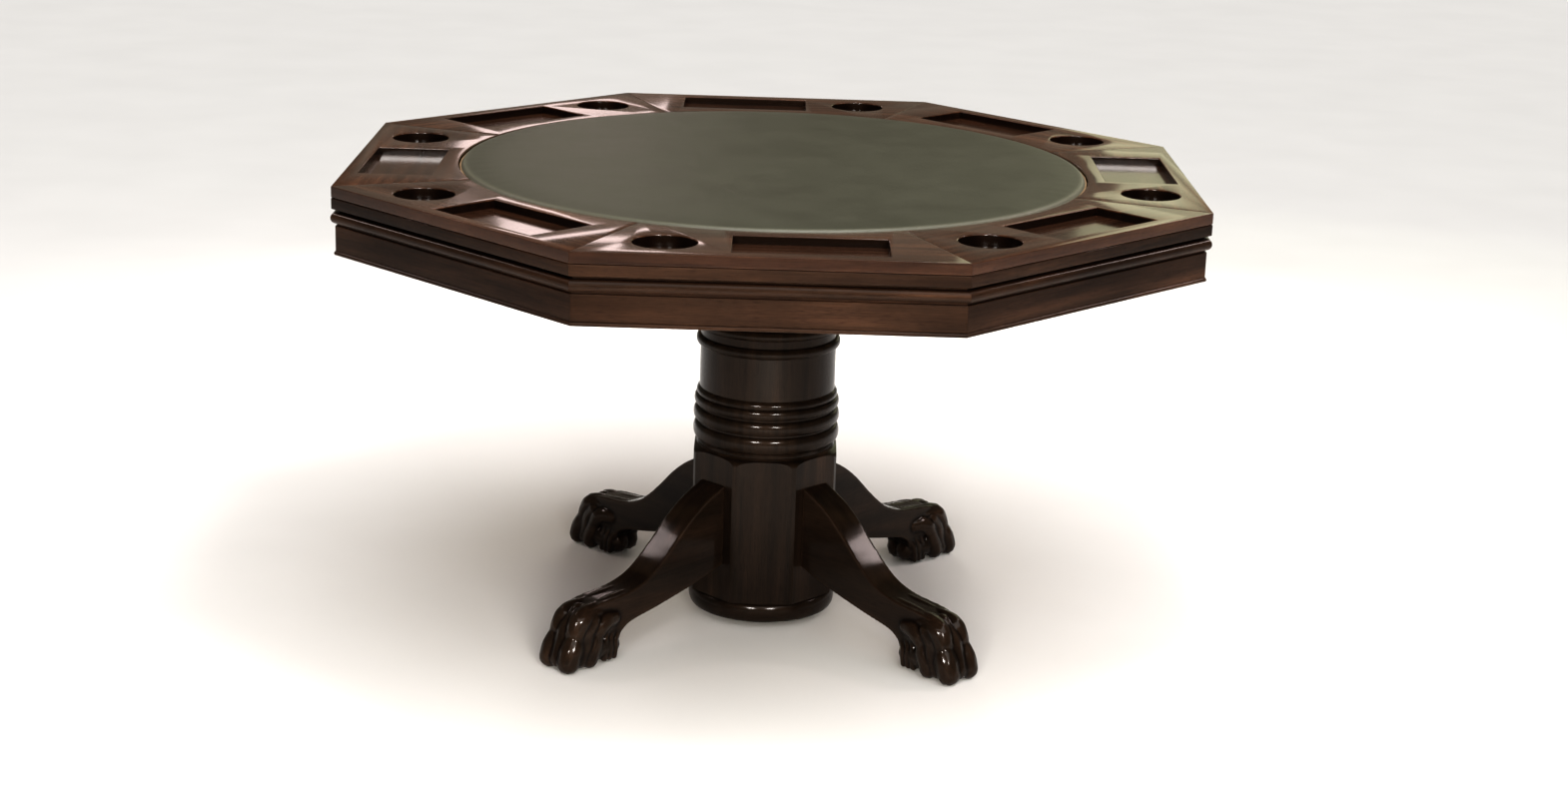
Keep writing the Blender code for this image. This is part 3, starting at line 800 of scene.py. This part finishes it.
def toe_balls(side):
    """The chains of balls that model one half of a paw; side is -1 or +1."""
    inner = knob_chain([
        (0.372, side * 0.0130, 0.0885, 0.0145), (0.400, side * 0.0150, 0.0870, 0.0165),
        (0.4180, side * 0.0172, 0.0800, 0.0186), (0.4290, side * 0.0188, 0.0660, 0.0168),
        (0.4330, side * 0.0200, 0.0530, 0.0154), (0.4385, side * 0.0212, 0.0400, 0.0178),
        (0.4435, side * 0.0218, 0.0290, 0.0192), (0.4480, side * 0.0220, 0.0165, 0.0184),
    ])
    outer = knob_chain([
        (0.356, side * 0.0200, 0.0720, 0.0140), (0.374, side * 0.0240, 0.0715, 0.0155),
        (0.3880, side * 0.0258, 0.0640, 0.0156), (0.3960, side * 0.0272, 0.0520, 0.0132),
        (0.4000, side * 0.0272, 0.0390, 0.0150), (0.4055, side * 0.0268, 0.0280, 0.0166),
        (0.4100, side * 0.0266, 0.0165, 0.0162),
    ])
    ridges = []
    for i in range(3):
        x = 0.3755 - 0.0105 * i
        ridges += knob_chain([
            (x - 0.007, side * 0.0240, 0.0560 - 0.005 * i, 0.0042),
            (x, side * 0.0272, 0.0400 - 0.003 * i, 0.0054),
            (x + 0.001, side * 0.0280, 0.0240, 0.0060), (x + 0.003, side * 0.0280, 0.0090, 0.0056),
        ])
    tendon = knob_chain([
        (0.306, side * 0.0130, 0.1010, 0.0100), (0.345, side * 0.0130, 0.0965, 0.0118),
        (0.376, side * 0.0132, 0.0910, 0.0140),
    ])
    web = knob_chain([
        (0.4000, side * 0.0180, 0.0740, 0.0190), (0.4130, side * 0.0190, 0.0580, 0.0190),
        (0.4170, side * 0.0195, 0.0400, 0.0195), (0.4260, side * 0.0200, 0.0200, 0.0180),
    ])
    return inner + outer + ridges + tendon + web


def paw_balls():
    """Both halves of the paw, the middle line between the toes, and the filling inside."""
    balls = toe_balls(-1) + toe_balls(1)
    balls += knob_chain([
        (0.4080, 0.0, 0.0860, 0.0165), (0.4270, 0.0, 0.0660, 0.0175),
        (0.4360, 0.0, 0.0400, 0.0195), (0.4455, 0.0, 0.0190, 0.0172),
    ])
    for side in (-1, 1):
        balls += knob_chain([
            (0.3560, side * 0.0105, 0.0240, 0.0205), (0.3800, side * 0.0130, 0.0270, 0.0225),
            (0.4050, side * 0.0150, 0.0300, 0.0225), (0.4230, side * 0.0140, 0.0280, 0.0210),
        ])
        balls += knob_chain([
            (0.3560, side * 0.0080, 0.0560, 0.0205), (0.3860, side * 0.0120, 0.0600, 0.0215),
            (0.4080, side * 0.0130, 0.0600, 0.0200),
        ])
    return balls


def write_relief(mesh, reach):
    """Write how deep each point lies: 0.5 on even ground, 1 in a groove, 0 on a ridge."""
    count = len(mesh.vertices)
    co = coordinates(mesh)
    normal = np.empty(count * 3)
    mesh.vertex_normals.foreach_get("vector", normal)
    normal = normal.reshape(-1, 3)
    ends = np.empty(len(mesh.edges) * 2, dtype=np.int64)
    mesh.edges.foreach_get("vertices", ends)
    ends = ends.reshape(-1, 2)
    links = np.bincount(ends.ravel(), minlength=count)[:, None]
    even = co.copy()
    for _ in range(EVENING_ROUNDS):
        total = np.zeros_like(even)
        np.add.at(total, ends[:, 0], even[ends[:, 1]])
        np.add.at(total, ends[:, 1], even[ends[:, 0]])
        even = total / np.maximum(links, 1)
    hollow = ((even - co) * normal).sum(axis=1)
    value = np.clip(0.5 + 0.5 * hollow / reach, 0.0, 1.0)
    relief = mesh.attributes.new("relief", "FLOAT", "POINT")
    relief.data.foreach_set("value", value)


def carved_leg():
    """One leg, joined from its blank and its balls by a voxel remesh, then smoothed."""
    bm = leg_blank()
    for centre, radius in paw_balls():
        place = Matrix.Translation(centre)
        bmesh.ops.create_icosphere(bm, subdivisions=2, radius=radius, matrix=place)
    leg = to_object("carved_leg", bm)
    knit = leg.modifiers.new("knit", "REMESH")
    knit.mode = "VOXEL"
    knit.voxel_size = VOXEL
    knit.adaptivity = 0.0
    ease = leg.modifiers.new("ease", "SMOOTH")
    ease.factor = 0.5
    ease.iterations = 5
    settle(leg)
    mesh = leg.data
    co = coordinates(mesh)
    co[:, 2] = np.maximum(co[:, 2], SOLE)
    mesh.vertices.foreach_set("co", co.ravel())
    mesh.update()
    write_relief(mesh, RELIEF_REACH)
    mesh.shade_smooth()
    return leg


def build_legs(steel, nylon):
    pattern = carved_leg()
    for index, (name, azimuth) in enumerate(LEG_AZIMUTHS.items()):
        leg = pattern.copy()
        leg.data = pattern.data.copy()
        leg.name = f"paw_leg_{name}"
        bpy.context.scene.collection.objects.link(leg)
        give_grain(leg.data, "x", 51 + index)
        leg.matrix_world = facing(azimuth)
        stand_in(leg, "base", f"leg_{name}", LEG_WOOD)
        paint(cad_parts[f"leg_bolt_{name}"], steel)
        paint(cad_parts[f"foot_glide_{name}"], nylon)
    bpy.data.objects.remove(pattern)
    for node in ("tie_rod", "tie_nut_top", "tie_nut_bottom"):
        paint(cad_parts[node], steel)


# ---- studio ------------------------------------------------------------------------------------
FLOOR_REACH = 160.0


def build_floor():
    bm = bmesh.new()
    bmesh.ops.create_grid(bm, x_segments=1, y_segments=1, size=FLOOR_REACH)
    floor = to_object("studio_floor", bm)
    n = Nodes("studio_floor")
    cloud = n.noise(n.place(), 3.0, 2.0)
    tone = n.grey(cloud, [(0.3, 0.64), (0.7, 0.66)])
    floor.data.materials.append(n.set(colour=tone, roughness=0.9, specular=0.0))


def soft_light(name, place, target, size, radiance, colour):
    """A rectangular light of a given brightness, whatever its size."""
    light = bpy.data.lights.new(name, "AREA")
    light.shape = "RECTANGLE"
    light.size, light.size_y = size
    light.energy = radiance * math.pi * size[0] * size[1]
    light.color = colour
    lamp = bpy.data.objects.new(name, light)
    lamp.location = place
    lamp.rotation_euler = (Vector(target) - Vector(place)).to_track_quat("-Z", "Y").to_euler()
    lamp.visible_camera = False
    bpy.context.scene.collection.objects.link(lamp)
    return lamp


def build_lights():
    world = bpy.data.worlds.new("studio")
    world.use_nodes = True
    background = world.node_tree.nodes["Background"]
    background.inputs["Color"].default_value = (1.0, 0.88, 0.72, 1.0)
    background.inputs["Strength"].default_value = 0.14
    bpy.context.scene.world = world

    sun = bpy.data.lights.new("overhead", "SUN")
    sun.energy = 1.9
    sun.angle = math.radians(70)
    lamp = bpy.data.objects.new("overhead", sun)
    lamp.rotation_euler = (math.radians(20), math.radians(12), 0)
    bpy.context.scene.collection.objects.link(lamp)

    # Main light: a soft box above, and two in front. The glints give reflections only.
    soft_light("ceiling", (0.35, -0.8, 3.0), (0, 0, 0.5), (0.42, 0.42), 28, (1.0, 0.98, 0.95))
    for side in (-1.25, 1.25):
        place, target = (side, -4.4, 2.2), (0, 0, 0.4)
        soft_light("front", place, target, (0.3, 0.4), 50, (1.0, 0.95, 0.91))
        glint = soft_light("glint", place, target, (0.8, 0.55), 80, (1.0, 0.96, 0.93))
        glint.visible_diffuse = False

    # Low fill from the front and from behind, without reflections of its own.
    for name, place, target, radiance, colour in (
        ("front_low", (0.15, -2.3, 0.55), (0, 0, 0.55), 38.0, (1.0, 0.93, 0.82)),
        ("back_low", (0.0, 2.7, 0.60), (0, 0, 0.5), 24.0, (1.0, 0.94, 0.86)),
    ):
        fill = soft_light(name, place, target, (0.9, 0.3), radiance, colour)
        fill.visible_glossy = False

    # Narrow side lights: the pale patches on the legs' tops.
    rose = (1.0, 0.86, 0.84)
    soft_light("side_left", (-2.0, 0.6, 2.1), (-0.2, 0, 0.3), (0.40, 0.55), 7.5, rose)
    soft_light("side_right", (2.0, 0.6, 2.1), (0.2, 0, 0.3), (0.42, 0.6), 11, rose)

    # Nested dim panels behind the table, brighter to the middle: the soft patches on the rim.
    for size in (0.14, 0.28, 0.46):
        place, target = (-0.56, 3.2, 1.62), (-0.4, 0, 0.75)
        soft_light("window_left", place, target, (size, size * 0.7), 2.2, (1.0, 0.82, 0.80))
    for size in (0.6, 1.0, 1.5):
        place, target = (1.62, 3.2, 1.42), (0.4, 0, 0.75)
        soft_light("wall_right", place, target, (size, size * 0.65 + 0.3), 0.50, (0.98, 1.0, 0.68))


EYE_PLACE = (0.0016, -4.1912, 1.5659)
YAW, PITCH, TILT = 0.0065, -0.27877, 0.0320


def build_camera():
    ahead = Vector((
        math.sin(YAW) * math.cos(PITCH), math.cos(YAW) * math.cos(PITCH), math.sin(PITCH),
    ))
    level = Vector((math.cos(YAW), -math.sin(YAW), 0.0))
    up = level.cross(ahead)
    right = level * math.cos(TILT) + up * math.sin(TILT)
    above = up * math.cos(TILT) - level * math.sin(TILT)
    camera = bpy.data.cameras.new("camera")
    camera.lens = 60.0
    camera.sensor_width = 36.0
    eye = bpy.data.objects.new("camera", camera)
    turn = Matrix((right, above, -ahead)).transposed().to_4x4()
    eye.matrix_world = Matrix.Translation(EYE_PLACE) @ turn
    bpy.context.scene.collection.objects.link(eye)
    bpy.context.scene.camera = eye


# ---- the scene ---------------------------------------------------------------------------------
build_camera()
build_top()
build_box(raw_wood())
build_column()
build_legs(plated_steel(), moulded_nylon())
build_floor()
build_lights()
view = bpy.context.scene.view_settings
view.view_transform = "Standard"
view.look = "High Contrast"
view.exposure = 0.35

bpy.context.view_layer.update()
